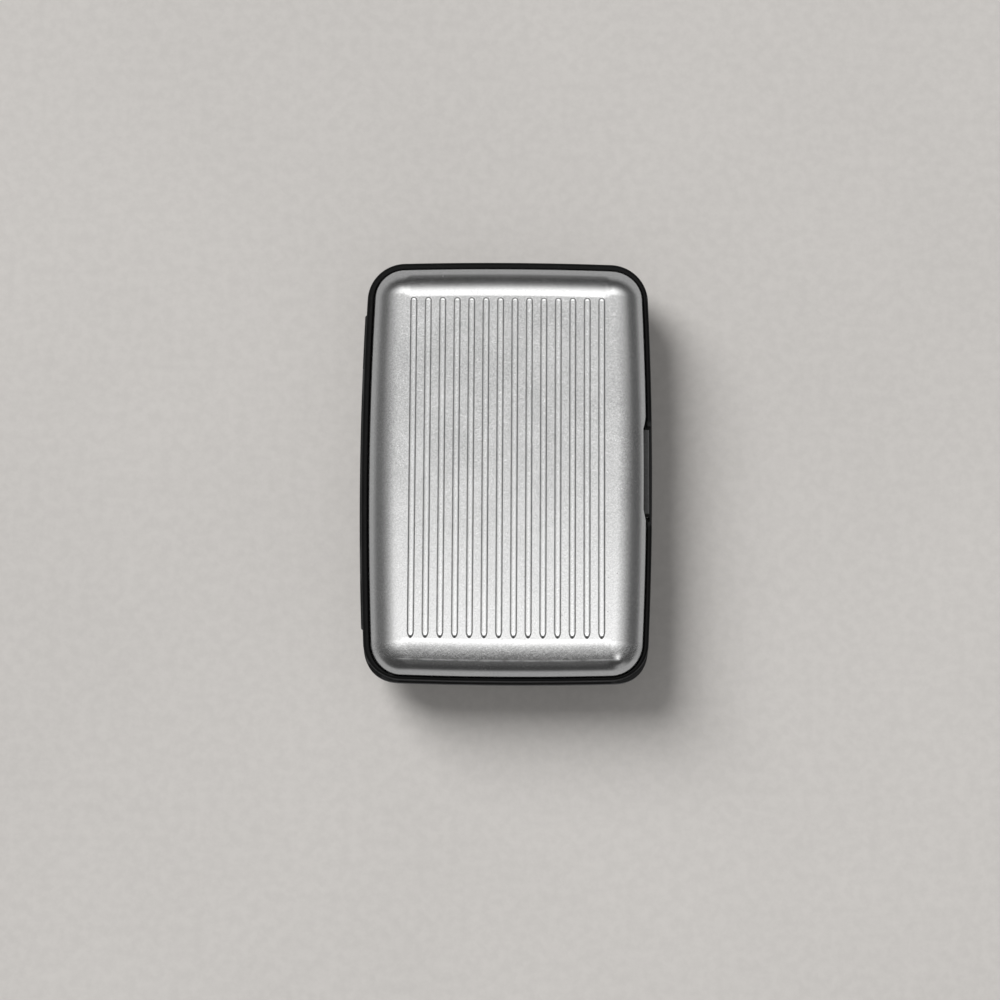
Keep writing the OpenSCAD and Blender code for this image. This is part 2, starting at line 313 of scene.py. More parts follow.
# Where a rib ends at +Y and -Y, and the lengths over which its -Y end narrows and sinks.
RIB_HIGH, RIB_LOW = 44.45, -44.85
RIB_POINT = 1.8
RIB_TIP = 1.0
RIB_POINT_POWER = 1.5

# Grid lines over a rib as shares of its half width, and along the panel: from, to and how many.
RIB_LINES = (-1.12, -1.0, -0.93, -0.86, -0.78, -0.7, -0.62, -0.5, -0.38, -0.25, -0.12)
END_ROWS = (42.4, 44.95, 29)
MIDDLE_ROWS = (-42.0, 42.0, 25)

# The short sides' own section fades out this far past the corner's centre, over this length.
END_FADE_PAST, END_FADE = 0.6, 2.4


def smooth(t):
    """0 below 0, 1 above 1 and an even ease between them."""
    t = np.clip(t, 0, 1)
    return t * t * (3 - 2 * t)


def rib_height(distance):
    """Height of a pressed rib at a distance from its centre line."""
    d = np.abs(distance)
    crown = RIB_H - RIB_CROWN * (np.minimum(d, RIB_CREST) / RIB_CREST) ** 2
    side = 1 - smooth((d - RIB_CREST) / (RIB_HALF - RIB_CREST))
    return crown * side


def rib_columns():
    """Grid lines across the panel, close together over each rib."""
    across = np.array(RIB_LINES)
    across = np.concatenate([across * RIB_HALF, [0], -across[::-1] * RIB_HALF])
    centres = (np.arange(RIB_COUNT) - (RIB_COUNT - 1) / 2) * RIB_PITCH
    return np.concatenate([c + across for c in centres]), centres


def rib_rows():
    """Grid lines along the panel, close together at the ribs' ends."""
    end = np.linspace(*END_ROWS)
    middle = np.linspace(*MIDDLE_ROWS)
    return np.concatenate([-end[::-1], middle, end])


def end_share(x):
    """1 across the ends' middle, where they have their own section, 0 at the corners."""
    return smooth((CORNER_X + END_FADE_PAST - np.abs(x)) / END_FADE)


def panel_heights(x, y, centres):
    """Height of the outer face over the panel: the flat, its gentle fall to the ends and the ribs.

    A rib is round at its +Y end and drawn out to a point at its -Y end.
    """
    gx, gy = np.meshgrid(x, y)
    inset = END_R - np.hypot(np.abs(gy) + END_C, gx)
    flat = PANEL_H + (END_SECTION.height(inset) - PANEL_H) * end_share(gx)
    blunt = np.clip(gy - RIB_HIGH + RIB_HALF, 0, None)
    pointed = np.clip(RIB_LOW + RIB_POINT - gy, 0, None) * RIB_HALF / RIB_POINT
    height = np.zeros_like(flat)
    for c in centres:
        across = np.abs(gx - c)
        to_point = (across**RIB_POINT_POWER + pointed**RIB_POINT_POWER) ** (1 / RIB_POINT_POWER)
        distance = np.where(gy > 0, np.hypot(across, blunt), to_point)
        tip = smooth((gy - RIB_LOW) / RIB_TIP)
        height = np.maximum(height, rib_height(distance) * tip)
    return flat + height


def shell_mesh(side, latch_half, latch_h):
    """The outer and inner faces of one half shell."""
    columns, centres = rib_columns()
    rows = rib_rows()
    side_t = np.concatenate([[-1], rows / CORNER_Y, [1]])
    end_t = np.concatenate([[-1], -columns[::-1] / CORNER_X, [1]])
    ring = Ring(side_t, end_t, CORNER_STEPS)
    shift = ring.spread(*WALL_SHIFT)
    base = ring.points(OUTER_WALL)
    share = end_share(base[:, 0])
    # The rim is cut back around the latch, with rounded ends to the cut.
    past_cut = smooth((np.abs(base[:, 1]) - latch_half + CUT_ROUND_FROM) / CUT_ROUND)
    near = (base[:, 0] > 0) * (1 - past_cut)
    start_h = RIM_H + near * (latch_h - RIM_H)
    turns = np.concatenate([np.linspace(0, 0.5, 9)[1:], np.linspace(0.5, 1.1, 20)[1:],
                            np.linspace(1.1, math.pi / 2, 20)[1:]])

    def turned_ring(turn, depth):
        """Insets and heights of the ring where the sheet has turned by a share of its whole turn."""
        ends = []
        for section in (SIDE_SECTION, END_SECTION):
            last = section.turn(GRID_INSET) if depth == 0 else math.pi / 2
            ends.append(section.at(turn * last / (math.pi / 2), depth))
        insets = ends[0][0] * (1 - share) + ends[1][0] * share
        heights = ends[0][1] * (1 - share) + ends[1][1] * share
        return insets, heights

    def rings(depth):
        """Rings of points from the rim's edge up to the panel, on the face at a depth in the sheet."""
        made = []
        for k in range(3):
            made.append((np.full(ring.count, OUTER_WALL + depth), start_h + (BAND_H - start_h) * k / 2))
        made += [turned_ring(turn, depth) for turn in turns]
        # Around the latch no ring is lower than the cut.
        turned = np.arcsin(np.clip((start_h - BAND_H) / (SIDE_SECTION.tight_r - depth), 0, 1))
        raised = SIDE_SECTION.tight[0] - (SIDE_SECTION.tight_r - depth) * np.cos(turned)
        cut = []
        for insets, heights in made:
            low = heights <= start_h
            insets = np.where(low, raised, insets)
            heights = np.where(low, start_h, heights)
            insets = insets - shift * (1 - smooth((insets - OUTER_WALL) / WALL_SHIFT_REACH))
            xy = ring.points(np.minimum(insets, CORNER_R - SMALLEST_CORNER_R))
            # A knock on one corner of the lid has left a small swelling.
            off = np.hypot(xy[:, 0] - KNOCK_X, xy[:, 1] - KNOCK_Y) / KNOCK_R
            heights = heights + (side > 0) * KNOCK_H * np.exp(-off * off) * (heights > BAND_H)
            cut.append(np.column_stack([xy, heights]))
        return cut

    outer, inner = rings(0.0), rings(SHEET)
    verts = [*outer, *inner]
    count = ring.count
    faces = []
    n_outer, n_inner = len(outer), len(inner)
    for base_ring, n in ((0, n_outer), (n_outer, n_inner)):
        for r in range(n - 1):
            a, b = (base_ring + r) * count, (base_ring + r + 1) * count
            for i in range(count):
                j = (i + 1) % count
                faces.append((a + i, a + j, b + j, b + i))
    for i in range(count):
        j = (i + 1) % count
        faces.append((i, j, n_outer * count + j, n_outer * count + i))
    faces.append(tuple((n_outer + n_inner - 1) * count + i for i in range(count)))

    # The last outer ring is the border of the panel's grid, and faces join the two all the way round.
    border = (n_outer - 1) * count
    heights = panel_heights(columns, rows, centres)
    grid_at = len(np.concatenate(verts))
    gx, gy = np.meshgrid(columns, rows)
    verts.append(np.column_stack([gx.ravel(), gy.ravel(), heights.ravel()]))
    nx, ny = len(columns), len(rows)

    def grid(i, j):
        return grid_at + j * nx + i

    for j in range(ny - 1):
        for i in range(nx - 1):
            faces.append((grid(i, j), grid(i + 1, j), grid(i + 1, j + 1), grid(i, j + 1)))
    side_n, end_n = len(side_t), len(end_t)
    corner_n = CORNER_STEPS - 1
    first = [0]
    for n in (side_n, end_n, side_n):
        first.append(first[-1] + n + corner_n)

    def right(j):
        return border + first[0] + 1 + j

    def top(i):
        return border + first[1] + 1 + (nx - 1 - i)

    def left(j):
        return border + first[2] + 1 + (ny - 1 - j)

    def bottom(i):
        return border + first[3] + 1 + i

    for j in range(ny - 1):
        faces.append((grid(nx - 1, j), right(j), right(j + 1), grid(nx - 1, j + 1)))
        faces.append((grid(0, j), grid(0, j + 1), left(j + 1), left(j)))
    for i in range(nx - 1):
        faces.append((grid(i, ny - 1), grid(i + 1, ny - 1), top(i + 1), top(i)))
        faces.append((grid(i, 0), bottom(i), bottom(i + 1), grid(i + 1, 0)))
    corners = (
        (grid(nx - 1, ny - 1), right(ny - 1), top(nx - 1)),
        (grid(0, ny - 1), top(0), left(ny - 1)),
        (grid(0, 0), left(0), bottom(0)),
        (grid(nx - 1, 0), bottom(nx - 1), right(0)),
    )
    for centre, start, stop in corners:
        loop = [centre, start]
        k = start
        while k != stop:
            k = border + (k - border + 1) % count
            loop.append(k)
        faces.append(tuple(loop))
    return flip(np.concatenate(verts), side), faces


# ---------------------------------------------------------------- materials


class Graph:
    """Builds a node material or world with few words: each call adds a node and returns its output."""

    def __init__(self, tree):
        self.tree = tree
        tree.nodes.clear()

    def add(self, kind, values=None, out=0, **props):
        node = self.tree.nodes.new(kind)
        for key, value in props.items():
            setattr(node, key, value)
        for key, value in (values or {}).items():
            socket = node.inputs[key]
            if isinstance(value, bpy.types.NodeSocket):
                self.tree.links.new(value, socket)
            else:
                socket.default_value = value
        return node.outputs[out] if len(node.outputs) else node

    def math(self, operation, a, b=0.0, clamp=False):
        return self.add("ShaderNodeMath", {0: a, 1: b}, operation=operation, use_clamp=clamp)

    def ramp(self, value, low, high, start=0.0, end=1.0, kind="SMOOTHSTEP"):
        """start below low, end above high, smooth between them."""
        return self.add("ShaderNodeMapRange", {0: value, 1: low, 2: high, 3: start, 4: end},
                        interpolation_type=kind)

    def mix(self, share, a, b):
        return self.add("ShaderNodeMix", {0: share, 6: a, 7: b}, out=2, data_type="RGBA")

    def highest(self, values):
        """The largest of several values."""
        return functools.reduce(lambda a, b: self.math("MAXIMUM", a, b), values)

    def weighted(self, base, parts):
        """A base value plus shares of others, given as (value, share) pairs."""
        for value, share in parts:
            base = self.math("ADD", base, self.math("MULTIPLY", value, share))
        return base

    def clamped(self, value):
        """A value kept between 0 and 1."""
        return self.math("ADD", value, clamp=True)

    def grey(self, value):
        return self.add("ShaderNodeCombineColor", {0: value, 1: value, 2: value})

    def tinted(self, tone, green, blue):
        """A tone in red, with its shares in green and blue."""
        return self.add("ShaderNodeCombineColor", {0: tone, 1: self.math("MULTIPLY", tone, green),
                                                   2: self.math("MULTIPLY", tone, blue)})

    def noise(self, vector, scale, detail=2.0, rough=0.5):
        return self.add("ShaderNodeTexNoise", {"Vector": vector, "Scale": scale, "Detail": detail,
                                               "Roughness": rough})

    def mapped(self, vector, scale=(1, 1, 1), angle=(0, 0, 0), shift=(0, 0, 0)):
        return self.add("ShaderNodeMapping", {"Vector": vector, "Scale": scale, "Rotation": angle,
                                              "Location": shift})

    def bump(self, height, distance, strength=1.0):
        return self.add("ShaderNodeBump", {"Height": height, "Distance": distance, "Strength": strength})


def material(name):
    """A new material, the builder of its nodes and its object coordinates in millimetres."""
    mat = bpy.data.materials.new(name)
    mat.use_nodes = True
    graph = Graph(mat.node_tree)
    coords = graph.add("ShaderNodeTexCoord", out=3)
    mm = graph.mapped(coords, scale=(1000, 1000, 1000))
    return mat, graph, mm


def finish_material(graph, **values):
    """Principled shader with the given sockets."""
    names = {key.replace("_", " "): value for key, value in values.items()}
    shader = graph.add("ShaderNodeBsdfPrincipled", names)
    graph.add("ShaderNodeOutputMaterial", {"Surface": shader})


def scratches(graph, mm, angle, sparse, length=0.05, width=0.012, seed=0.0):
    """Thin straight scratches at an angle: 1 on a scratch, 0 off it, and fewer the higher sparse is."""
    turned = graph.mapped(mm, angle=(0, 0, math.radians(angle)), shift=(seed, -seed, 0))
    stretched = graph.mapped(turned, scale=(1.6, length, 1.6))
    value = graph.noise(stretched, 1.0, 1.0, 0.4)
    line = graph.math("ABSOLUTE", graph.math("SUBTRACT", value, 0.5))
    line = graph.ramp(line, 0.0, width, 1.0, 0.0, "LINEAR")
    breaks = graph.noise(graph.mapped(turned, scale=(0.9, 0.12, 0.9), shift=(seed, 3, 1)), 1.0, 2.0)
    return graph.math("MULTIPLY", line, graph.ramp(breaks, sparse, sparse + 0.06))


# Insets between which the scuffs at the -Y end fade out, towards the panel and the foot, and the inset of
# the crease there.
WORN_TOP, WORN_FOOT = (8.4, 10.0), (4.9, 5.7)
CREASE_INSET = 5.1

# Angle in degrees and sparseness of the aluminium's scattered scratches, and the angles of its dense ones.
SCATTERED = ((18, 0.56), (-31, 0.58), (62, 0.6), (-74, 0.6))
DENSE_ANGLES = (57, -52, 38)
DENSE_SPARSE = 0.38


def pits(g, mm):
    """Sparse round pits and finer specks, each 1 at its middle."""
    cells = g.add("ShaderNodeTexVoronoi", {"Vector": mm, "Scale": 0.42, "Randomness": 1.0})
    picked = g.ramp(g.add("ShaderNodeSeparateColor", {0: cells.node.outputs[1]}), 0.8, 0.84)
    pit = g.math("MULTIPLY", g.ramp(cells, 0.03, 0.085, 1.0, 0.0), picked)
    dust_cells = g.add("ShaderNodeTexVoronoi", {"Vector": g.mapped(mm, shift=(7, 3, 1)), "Scale": 0.9})
    return pit, g.ramp(dust_cells, 0.02, 0.06, 1.0, 0.0)


def end_wear(g, mm, x, y):
    """The worn curve at the -Y end, where the case slides in a bag, and the faint crease at its foot."""
    centred = g.add("ShaderNodeCombineXYZ", {0: x, 1: g.math("SUBTRACT", y, END_C)})
    reach = g.add("ShaderNodeVectorMath", {0: centred}, out=1, operation="LENGTH")
    inset = g.math("SUBTRACT", END_R, reach)
    worn = g.math("MULTIPLY", g.ramp(inset, *WORN_TOP, 1.0, 0.0), g.ramp(inset, *WORN_FOOT))
    crease = g.ramp(g.math("ABSOLUTE", g.math("SUBTRACT", inset, CREASE_INSET)), 0.08, 0.32, 1.0, 0.0)
    crease = g.math("MULTIPLY", crease, g.ramp(g.noise(mm, 0.35, 2.0), 0.35, 0.6, 0.25, 1.0))
    crease = g.math("MULTIPLY", crease, g.ramp(g.math("ABSOLUTE", x), 26.0, 30.0, 1.0, 0.0))
    return worn, crease


def scratch_marks(g, mm, worn):
    """Faint scratches scattered over the whole shell and dense ones where it is worn."""
    lines = g.highest([scratches(g, mm, angle, sparse, seed=3.1 * k + 1)
                       for k, (angle, sparse) in enumerate(SCATTERED)])
    dense = g.highest([scratches(g, mm, angle, DENSE_SPARSE, length=0.1, width=0.03, seed=11.3 + 4.7 * k)
                       for k, angle in enumerate(DENSE_ANGLES)])
    return g.math("MAXIMUM", g.math("MULTIPLY", lines, 0.3), g.math("MULTIPLY", dense, worn))


def aluminium(name):
    """Satin aluminium: blasted grain, pits, a painted highlight on the rib crests, scuffs at one end and
    scratches.
    """
    mat, g, mm = material(name)
    axes = g.add("ShaderNodeSeparateXYZ", {0: mm})
    x, y, z = axes.node.outputs
    grain = g.noise(mm, 2.4, 5.0, 0.72)
    fine = g.noise(mm, 16.0, 2.0, 0.6)
    cloud = g.noise(g.mapped(mm, scale=(0.16, 0.09, 0.16)), 1.0, 3.0, 0.55)
    fibre = g.noise(g.mapped(mm, scale=(1.1, 2.6, 1.1)), 1.0, 4.0, 0.7)
    pit, speck = pits(g, mm)
    # A painted highlight: the base colour is made brighter on the rib crests at the top of each shell,
    # standing in for their glint.
    painted_crest_highlight = g.ramp(g.math("ABSOLUTE", g.math("SUBTRACT", z, MID_Z)), 9.72, 9.9)
    worn, crease = end_wear(g, mm, x, y)
    marks = scratch_marks(g, mm, worn)

    tone = g.math("ADD", g.ramp(cloud, 0.3, 0.7, 0.81, 0.835), g.ramp(grain, 0.32, 0.68, -0.07, 0.07))
    rubbed = g.math("MULTIPLY", worn, g.ramp(fibre, 0.3, 0.7, 0.2, -0.03))
    tone = g.weighted(tone, ((painted_crest_highlight, 0.10), (pit, -0.45), (speck, -0.06), (marks, 0.08), (rubbed, -1.0)))
    rough = g.math("ADD", g.ramp(cloud, 0.3, 0.7, 0.19, 0.21), g.ramp(grain, 0.32, 0.68, -0.02, 0.02))
    rough = g.weighted(rough, ((worn, 0.012), (marks, 0.08), (crease, 0.3), (pit, 0.2)))
    height = g.weighted(g.math("MULTIPLY", grain, 0.6), (
        (fine, 0.3), (marks, 3.0), (g.math("MULTIPLY", fibre, worn), 1.6), (crease, 5.0), (pit, -8.0)))
    finish_material(g, Base_Color=g.tinted(g.clamped(tone), 0.998, 0.994), Metallic=1.0,
                    Roughness=g.clamped(rough), Normal=g.bump(height, 0.0000028))
    return mat


def plastic(name, tone, rough, wear=0.0, grain_scale=3.0, grain_depth=0.000006, specular=0.5):
    """Moulded plastic: fine texture, scratches, and pale wear where edges rub."""
    mat, g, mm = material(name)
    grain = g.noise(mm, grain_scale, 3.0, 0.6)
    cloud = g.noise(mm, 0.18, 3.0, 0.6)
    speck_noise = g.noise(mm, 2.1, 4.0, 0.7)
    specks = g.ramp(speck_noise, 0.60, 0.68)
    line_a = scratches(g, mm, 12, 0.5, seed=2.0)
    line_b = scratches(g, mm, -63, 0.55, seed=9.0)
    lines = g.math("MAXIMUM", line_a, line_b)
    edge = g.add("ShaderNodeNewGeometry", out=7)
    worn = g.ramp(g.math("ADD", edge, g.math("MULTIPLY", g.math("SUBTRACT", speck_noise, 0.5), 0.12)),
                  0.53, 0.60)
    worn = g.math("MULTIPLY", worn, wear)
    light = g.weighted(g.ramp(cloud, 0.3, 0.7, tone * 0.85, tone * 1.2),
                       ((specks, tone * 0.6 + 0.01 * wear), (lines, 0.008), (worn, 0.11)))
    uneven = g.weighted(g.ramp(cloud, 0.3, 0.7, rough - 0.04, rough + 0.05), ((specks, 0.12), (worn, 0.2)))
    normal = g.bump(g.weighted(grain, ((lines, -0.8),)), grain_depth, 0.8)
    finish_material(g, Base_Color=g.grey(g.clamped(light)), Roughness=g.clamped(uneven), Normal=normal,
                    Specular_IOR_Level=specular)
    return mat


def steel(name):
    """Drawn steel wire: lengthwise drawing marks and light tarnish."""
    mat, g, mm = material(name)
    drawn = g.noise(g.mapped(mm, scale=(9, 0.35, 9)), 1.0, 3.0, 0.6)
    spots = g.noise(mm, 1.4, 4.0, 0.65)
    tone = g.math("ADD", g.ramp(drawn, 0.3, 0.7, 0.48, 0.60), g.ramp(spots, 0.62, 0.75, 0.0, -0.16))
    rough = g.ramp(spots, 0.3, 0.75, 0.24, 0.45)
    normal = g.bump(drawn, 0.000005, 0.8)
    finish_material(g, Base_Color=g.tinted(tone, 0.985, 0.96), Metallic=1.0, Roughness=rough, Normal=normal)
    return mat


def floor_material():
    """Pale, faintly mottled studio floor."""
    mat, g, mm = material("floor")
    cloud = g.noise(mm, 0.006, 4.0, 0.6)
    fine = g.noise(mm, 0.35, 4.0, 0.65)
    tone = g.math("ADD", g.ramp(cloud, 0.3, 0.7, 0.60, 0.63), g.ramp(fine, 0.3, 0.7, -0.02, 0.02))
    normal = g.bump(fine, 0.0001, 0.35)
    finish_material(g, Base_Color=g.tinted(tone, 0.962, 0.922), Roughness=0.9, Normal=normal)
    return mat


ALUMINIUM = aluminium("satin_aluminium")
FRAME_PLASTIC = plastic("black_frame_plastic", 0.004, 0.36, wear=0.3, specular=0.14)
BUTTON_PLASTIC = plastic("black_button_plastic", 0.1, 0.45, wear=1.0, specular=0.4)
LINER_PLASTIC = plastic("liner_plastic", 0.03, 0.5, grain_scale=1.6, grain_depth=0.00003)
LEAF_PLASTIC = plastic("leaf_plastic", 0.035, 0.36, grain_scale=2.2, grain_depth=0.00001)
PLEAT_PLASTIC = plastic("pleat_plastic", 0.028, 0.45, grain_scale=2.6, grain_depth=0.000015)
STEEL = steel("drawn_steel")


# ---------------------------------------------------------------- shells

# Half length and height of the cut in each shell's rim at the latch.
LATCH_CUT = {1: (12.9, 6.3), -1: (14.3, 3.4)}

for shell_name, shell_side, shell_body in (("lid_shell", 1, "lid"), ("base_shell", -1, "base")):
    shell_verts, shell_faces = shell_mesh(shell_side, *LATCH_CUT[shell_side])
    shell_obj = make_object(shell_name + "_pressed", shell_verts, shell_faces, ALUMINIUM, sharp=50)
    place(shell_obj, shell_body, "aluminium_sheet", shell_name)


# ---------------------------------------------------------------- frames

# The frames' section: the gap between them, the groove for the shell's rim, the inner wall's inset and
# height and the rounding of the outer edge.
SEAM = 0.1
GROOVE_INSET, GROOVE_FOOT = OUTER_WALL + 0.55, 1.2
INNER_WALL, INNER_TOP = 3.6, 5.0
EDGE_R = 1.0

# The hinge: its axis, the barrel's radius at its middle and the radius of its crown along Y, the half
# lengths of the middle knuckle and of the barrel, the gaps along and round it, and the pin.
AXIS_X = -36.05
AXIS = (AXIS_X, MID_Z)
BARREL_R, CROWN_R = 2.2, 1000.0
KNUCKLE_HALF, BARREL_HALF = 27.0, 41.5
KNUCKLE_GAP, BARREL_CLEAR = 0.1, 0.2
KNUCKLE_ROUND, BARREL_ROUND = 0.12, 0.4
PIN_R, PIN_CLEAR, PIN_HALF = 0.6, 0.05, 41.2
BORE_HALF = 43.0
RELIEF_W, RELIEF_L, RELIEF_SLOPE = 3.2, 11.0, math.tan(math.radians(28))

# The latch: its pin, the window in the lid's frame with the lip's inner face and top, and the button's
# pocket in the base's frame.
LATCH_PIN_R, LATCH_PIN_HALF = 0.4, 13.4
LATCH_AXIS = (36.4, 8.0)
WINDOW_LOW, WINDOW_HIGH = -13.4, 11.8
WINDOW_X, LIP_X, LIP_TOP = 34.6, 37.08, 12.0
BUTTON_IN, BUTTON_OUT = 35.65, 37.65
FRAME_EDGE = 0.06

# How far each frame's outer edge lies inside the outline, as for WALL_SHIFT: the base shows past the lid
# along the -Y end and its corners.
OUTER_INSET = {
    1: ((0.0, 0.0, 0.0, 0.35), (0.0, 0.0, 0.0, 0.0)),
    -1: ((0.0, 0.0, 0.0, -0.14), (0.0, 0.0, -0.5, -0.7)),
}


def frame_section():
    """(inset, height) points of the plastic frame, anticlockwise from the seam's outer edge."""
    points = [(0.2, SEAM / 2), (0.06, SEAM / 2 + 0.05), (0.0, SEAM / 2 + 0.2)]
    for k in range(11):
        a = k * math.pi / 20
        points.append((EDGE_R * (1 - math.cos(a)), BAND_H - EDGE_R * (1 - math.sin(a))))
    points += [(1.28, BAND_H), (1.45, BAND_H - 0.04), (1.62, BAND_H - 0.16), (1.76, BAND_H - 0.36)]
    points += [(OUTER_WALL, BAND_H - 0.62), (OUTER_WALL, GROOVE_FOOT)]
    points += [(GROOVE_INSET, GROOVE_FOOT), (GROOVE_INSET, BAND_H), (GROOVE_INSET + 0.45, INNER_TOP),
               (INNER_WALL - 0.1, INNER_TOP), (INNER_WALL, INNER_TOP - 0.1), (INNER_WALL, SEAM / 2)]
    return points


def frame_object(name, side):
    """The ring of a frame, before its hinge and latch are made."""
    ring = Ring(np.linspace(-1, 1, 61), np.linspace(-1, 1, 41), 28)
    rings = []
    outer, shift = ring.spread(*OUTER_INSET[side]), ring.spread(*WALL_SHIFT)
    for inset, height in frame_section():
        inward = min(inset / OUTER_WALL, 1.0)
        insets = inset + outer * (1 - inward) - shift * inward
        rings.append(np.column_stack([ring.points(insets), np.full(ring.count, height)]))
    verts, faces = loft(rings, closed=True)
    return make_object(name, flip(verts, side), faces, FRAME_PLASTIC)


def cutter(name, verts, faces):
    """A solid that cuts or joins and is then gone."""
    return make_object(name, verts, faces, None)


def box_cutter(name, low, high):
    """A box between two corners."""
    x = (low[0], high[0], high[0], low[0])
    y = (low[1], low[1], high[1], high[1])
    return cutter(name, *extrude(list(zip(x, y)), low[2], high[2], axis="z"))


def crown(y):
    """Radius of the crowned hinge barrel at a place along Y."""
    return BARREL_R - y * y / (2 * CROWN_R)


def rounded_end(y, inward, grow, round_r):
    """(radius, y) points of a barrel's rounded end, from its face to its side; inward is 1 or -1."""
    points = []
    for k in range(5):
        a = k * math.pi / 8
        radius = crown(y) + grow - round_r * (1 - math.sin(a))
        points.append((radius, y + inward * round_r * (1 - math.cos(a))))
    return points


def barrel_profile(low, high, grow, round_low=0.0, round_high=0.0):
    """(radius, y) points of a stretch of the hinge barrel, larger by grow all round."""
    profile = rounded_end(low, 1, grow, round_low) if round_low else []
    profile += [(crown(y) + grow, y) for y in np.linspace(low + round_low, high - round_high, 14)]
    if round_high:
        profile += rounded_end(high, -1, grow, round_high)[::-1]
    return profile


def relief_cutters(side):
    """Wedges past the barrel's ends that let the frames' rear edges clear each other as the lid opens."""
    made = []
    rear = AXIS_X - RELIEF_W
    profile = [(AXIS_X, -0.01), (AXIS_X, SEAM / 2), (rear, SEAM / 2 + RELIEF_W * RELIEF_SLOPE), (rear, -0.01)]
    for s in (-1, 1):
        low, high = sorted((s * BARREL_HALF, s * (BARREL_HALF + RELIEF_L)))
        verts, faces = extrude(profile, low, high)
        made.append(cutter("relief", flip(verts, side), faces))
    return made


def bore_cutter(radius, half, centre):
    """A bore for a pin along Y."""
    return cutter("bore", *revolve([(radius, -half), (radius, half)], centre, 32))


# Lid frame: the middle knuckle, the window for the hook and the thin lip in front of it.
lid_frame = frame_object("lid_frame_moulded", 1)
cuts = relief_cutters(1)
for s in (-1, 1):
    low, high = sorted((s * KNUCKLE_HALF, s * (BARREL_HALF + BARREL_CLEAR)))
    cuts.append(cutter("clear", *revolve(barrel_profile(low, high, BARREL_CLEAR), AXIS)))
boolean(lid_frame, cuts, "DIFFERENCE")
profile = barrel_profile(-KNUCKLE_HALF, KNUCKLE_HALF, 0, KNUCKLE_ROUND, KNUCKLE_ROUND)
boolean(lid_frame, [cutter("knuckle", *revolve(profile, AXIS))], "UNION")
window = box_cutter("window", (WINDOW_X, WINDOW_LOW, 9.0), (LIP_X, WINDOW_HIGH, 16.0))
profile = [(LIP_X - 0.01, LIP_TOP), (37.3, LIP_TOP), (37.5, 11.9), (37.69, 11.69), (41.25, 8.0),
           (41.25, 17.0), (LIP_X - 0.01, 17.0)]
lip_top = cutter("lip_top", *extrude(profile, WINDOW_LOW, WINDOW_HIGH))
bore = bore_cutter(PIN_R + PIN_CLEAR, BORE_HALF, AXIS)
boolean(lid_frame, [window, lip_top, bore], "DIFFERENCE")
bevel(lid_frame, FRAME_EDGE)
shade(lid_frame)
place(lid_frame, "lid", "frame_plastic", "lid_frame")

# Base frame: the two outer knuckles, the button's pocket and the chamber of its spring.
base_frame = frame_object("base_frame_moulded", -1)
cuts = relief_cutters(-1)
inner_end = KNUCKLE_HALF + KNUCKLE_GAP
cuts.append(cutter("clear", *revolve(barrel_profile(-inner_end, inner_end, BARREL_CLEAR), AXIS)))
boolean(base_frame, cuts, "DIFFERENCE")
knuckles = []
for s in (-1, 1):
    low, high = sorted((s * inner_end, s * BARREL_HALF))
    ends = (BARREL_ROUND, KNUCKLE_ROUND) if s < 0 else (KNUCKLE_ROUND, BARREL_ROUND)
    knuckles.append(cutter("knuckle", *revolve(barrel_profile(low, high, 0, *ends), AXIS)))
boolean(base_frame, knuckles, "UNION")
pocket = box_cutter("pocket", (35.35, -11.75, 6.95), (40.0, 11.75, 12.0))
chamber = box_cutter("chamber", (34.85, -8.2, 8.2), (40.0, 8.2, 12.0))
bores = [bore_cutter(PIN_R, BORE_HALF, AXIS), bore_cutter(LATCH_PIN_R, LATCH_PIN_HALF, LATCH_AXIS)]
boolean(base_frame, [pocket, chamber, *bores], "DIFFERENCE")
bevel(base_frame, FRAME_EDGE)
shade(base_frame)
place(base_frame, "base", "frame_plastic", "base_frame")


# ---------------------------------------------------------------- pins, button and spring


def pin(name, radius, half, centre, body, node):
    """A wire pin with rounded ends."""
    profile = [(radius * 0.45, -half)]
    for k in range(5):
        a = k * math.pi / 8
        profile.append((radius * (0.7 + 0.3 * math.sin(a)), -half + 0.3 * radius * (1 - math.cos(a)) + 0.02))
    profile += [(radius, y) for y in np.linspace(-half + 0.5, half - 0.5, 12)]
    profile += [(r, -y) for r, y in profile[:6][::-1]]
    obj = make_object(name, *revolve(profile, centre, 40), STEEL)
    return place(obj, body, "steel", node)


pin("hinge_pin_wire", PIN_R, PIN_HALF, AXIS, "base", "hinge_pin")
pin("latch_pin_wire", LATCH_PIN_R, LATCH_PIN_HALF, LATCH_AXIS, "base", "latch_pin")

# The button's section: the pressed face below and the hook above, whose top corners are rounded.
HOOK_X, HOOK_BACK, HOOK_CORNER, HOOK_Z = 36.84, 35.35, 0.15, 13.75
profile = [(BUTTON_IN, 7.75), (35.95, 7.15), (37.35, 7.15), (BUTTON_OUT, 7.45), (BUTTON_OUT, 9.75),
           (HOOK_X, 9.75), (HOOK_X, HOOK_Z)]
for k in range(1, 6):
    a = k * math.pi / 10
    profile.append((HOOK_X - HOOK_CORNER * (1 - math.cos(a)), HOOK_Z + HOOK_CORNER * math.sin(a)))
for k in range(6):
    a = math.pi / 2 + k * math.pi / 10
    profile.append((HOOK_BACK + HOOK_CORNER * (1 + math.cos(a)), HOOK_Z + HOOK_CORNER * math.sin(a)))
profile += [(HOOK_BACK, 12.4), (BUTTON_IN, 12.4)]
button = make_object("latch_button_moulded", *extrude(profile, -11.3, 10.7), BUTTON_PLASTIC)
bevel(button, 0.06, 3, 30)
shade(button)
place(button, "latch", "button_plastic", "latch_button")

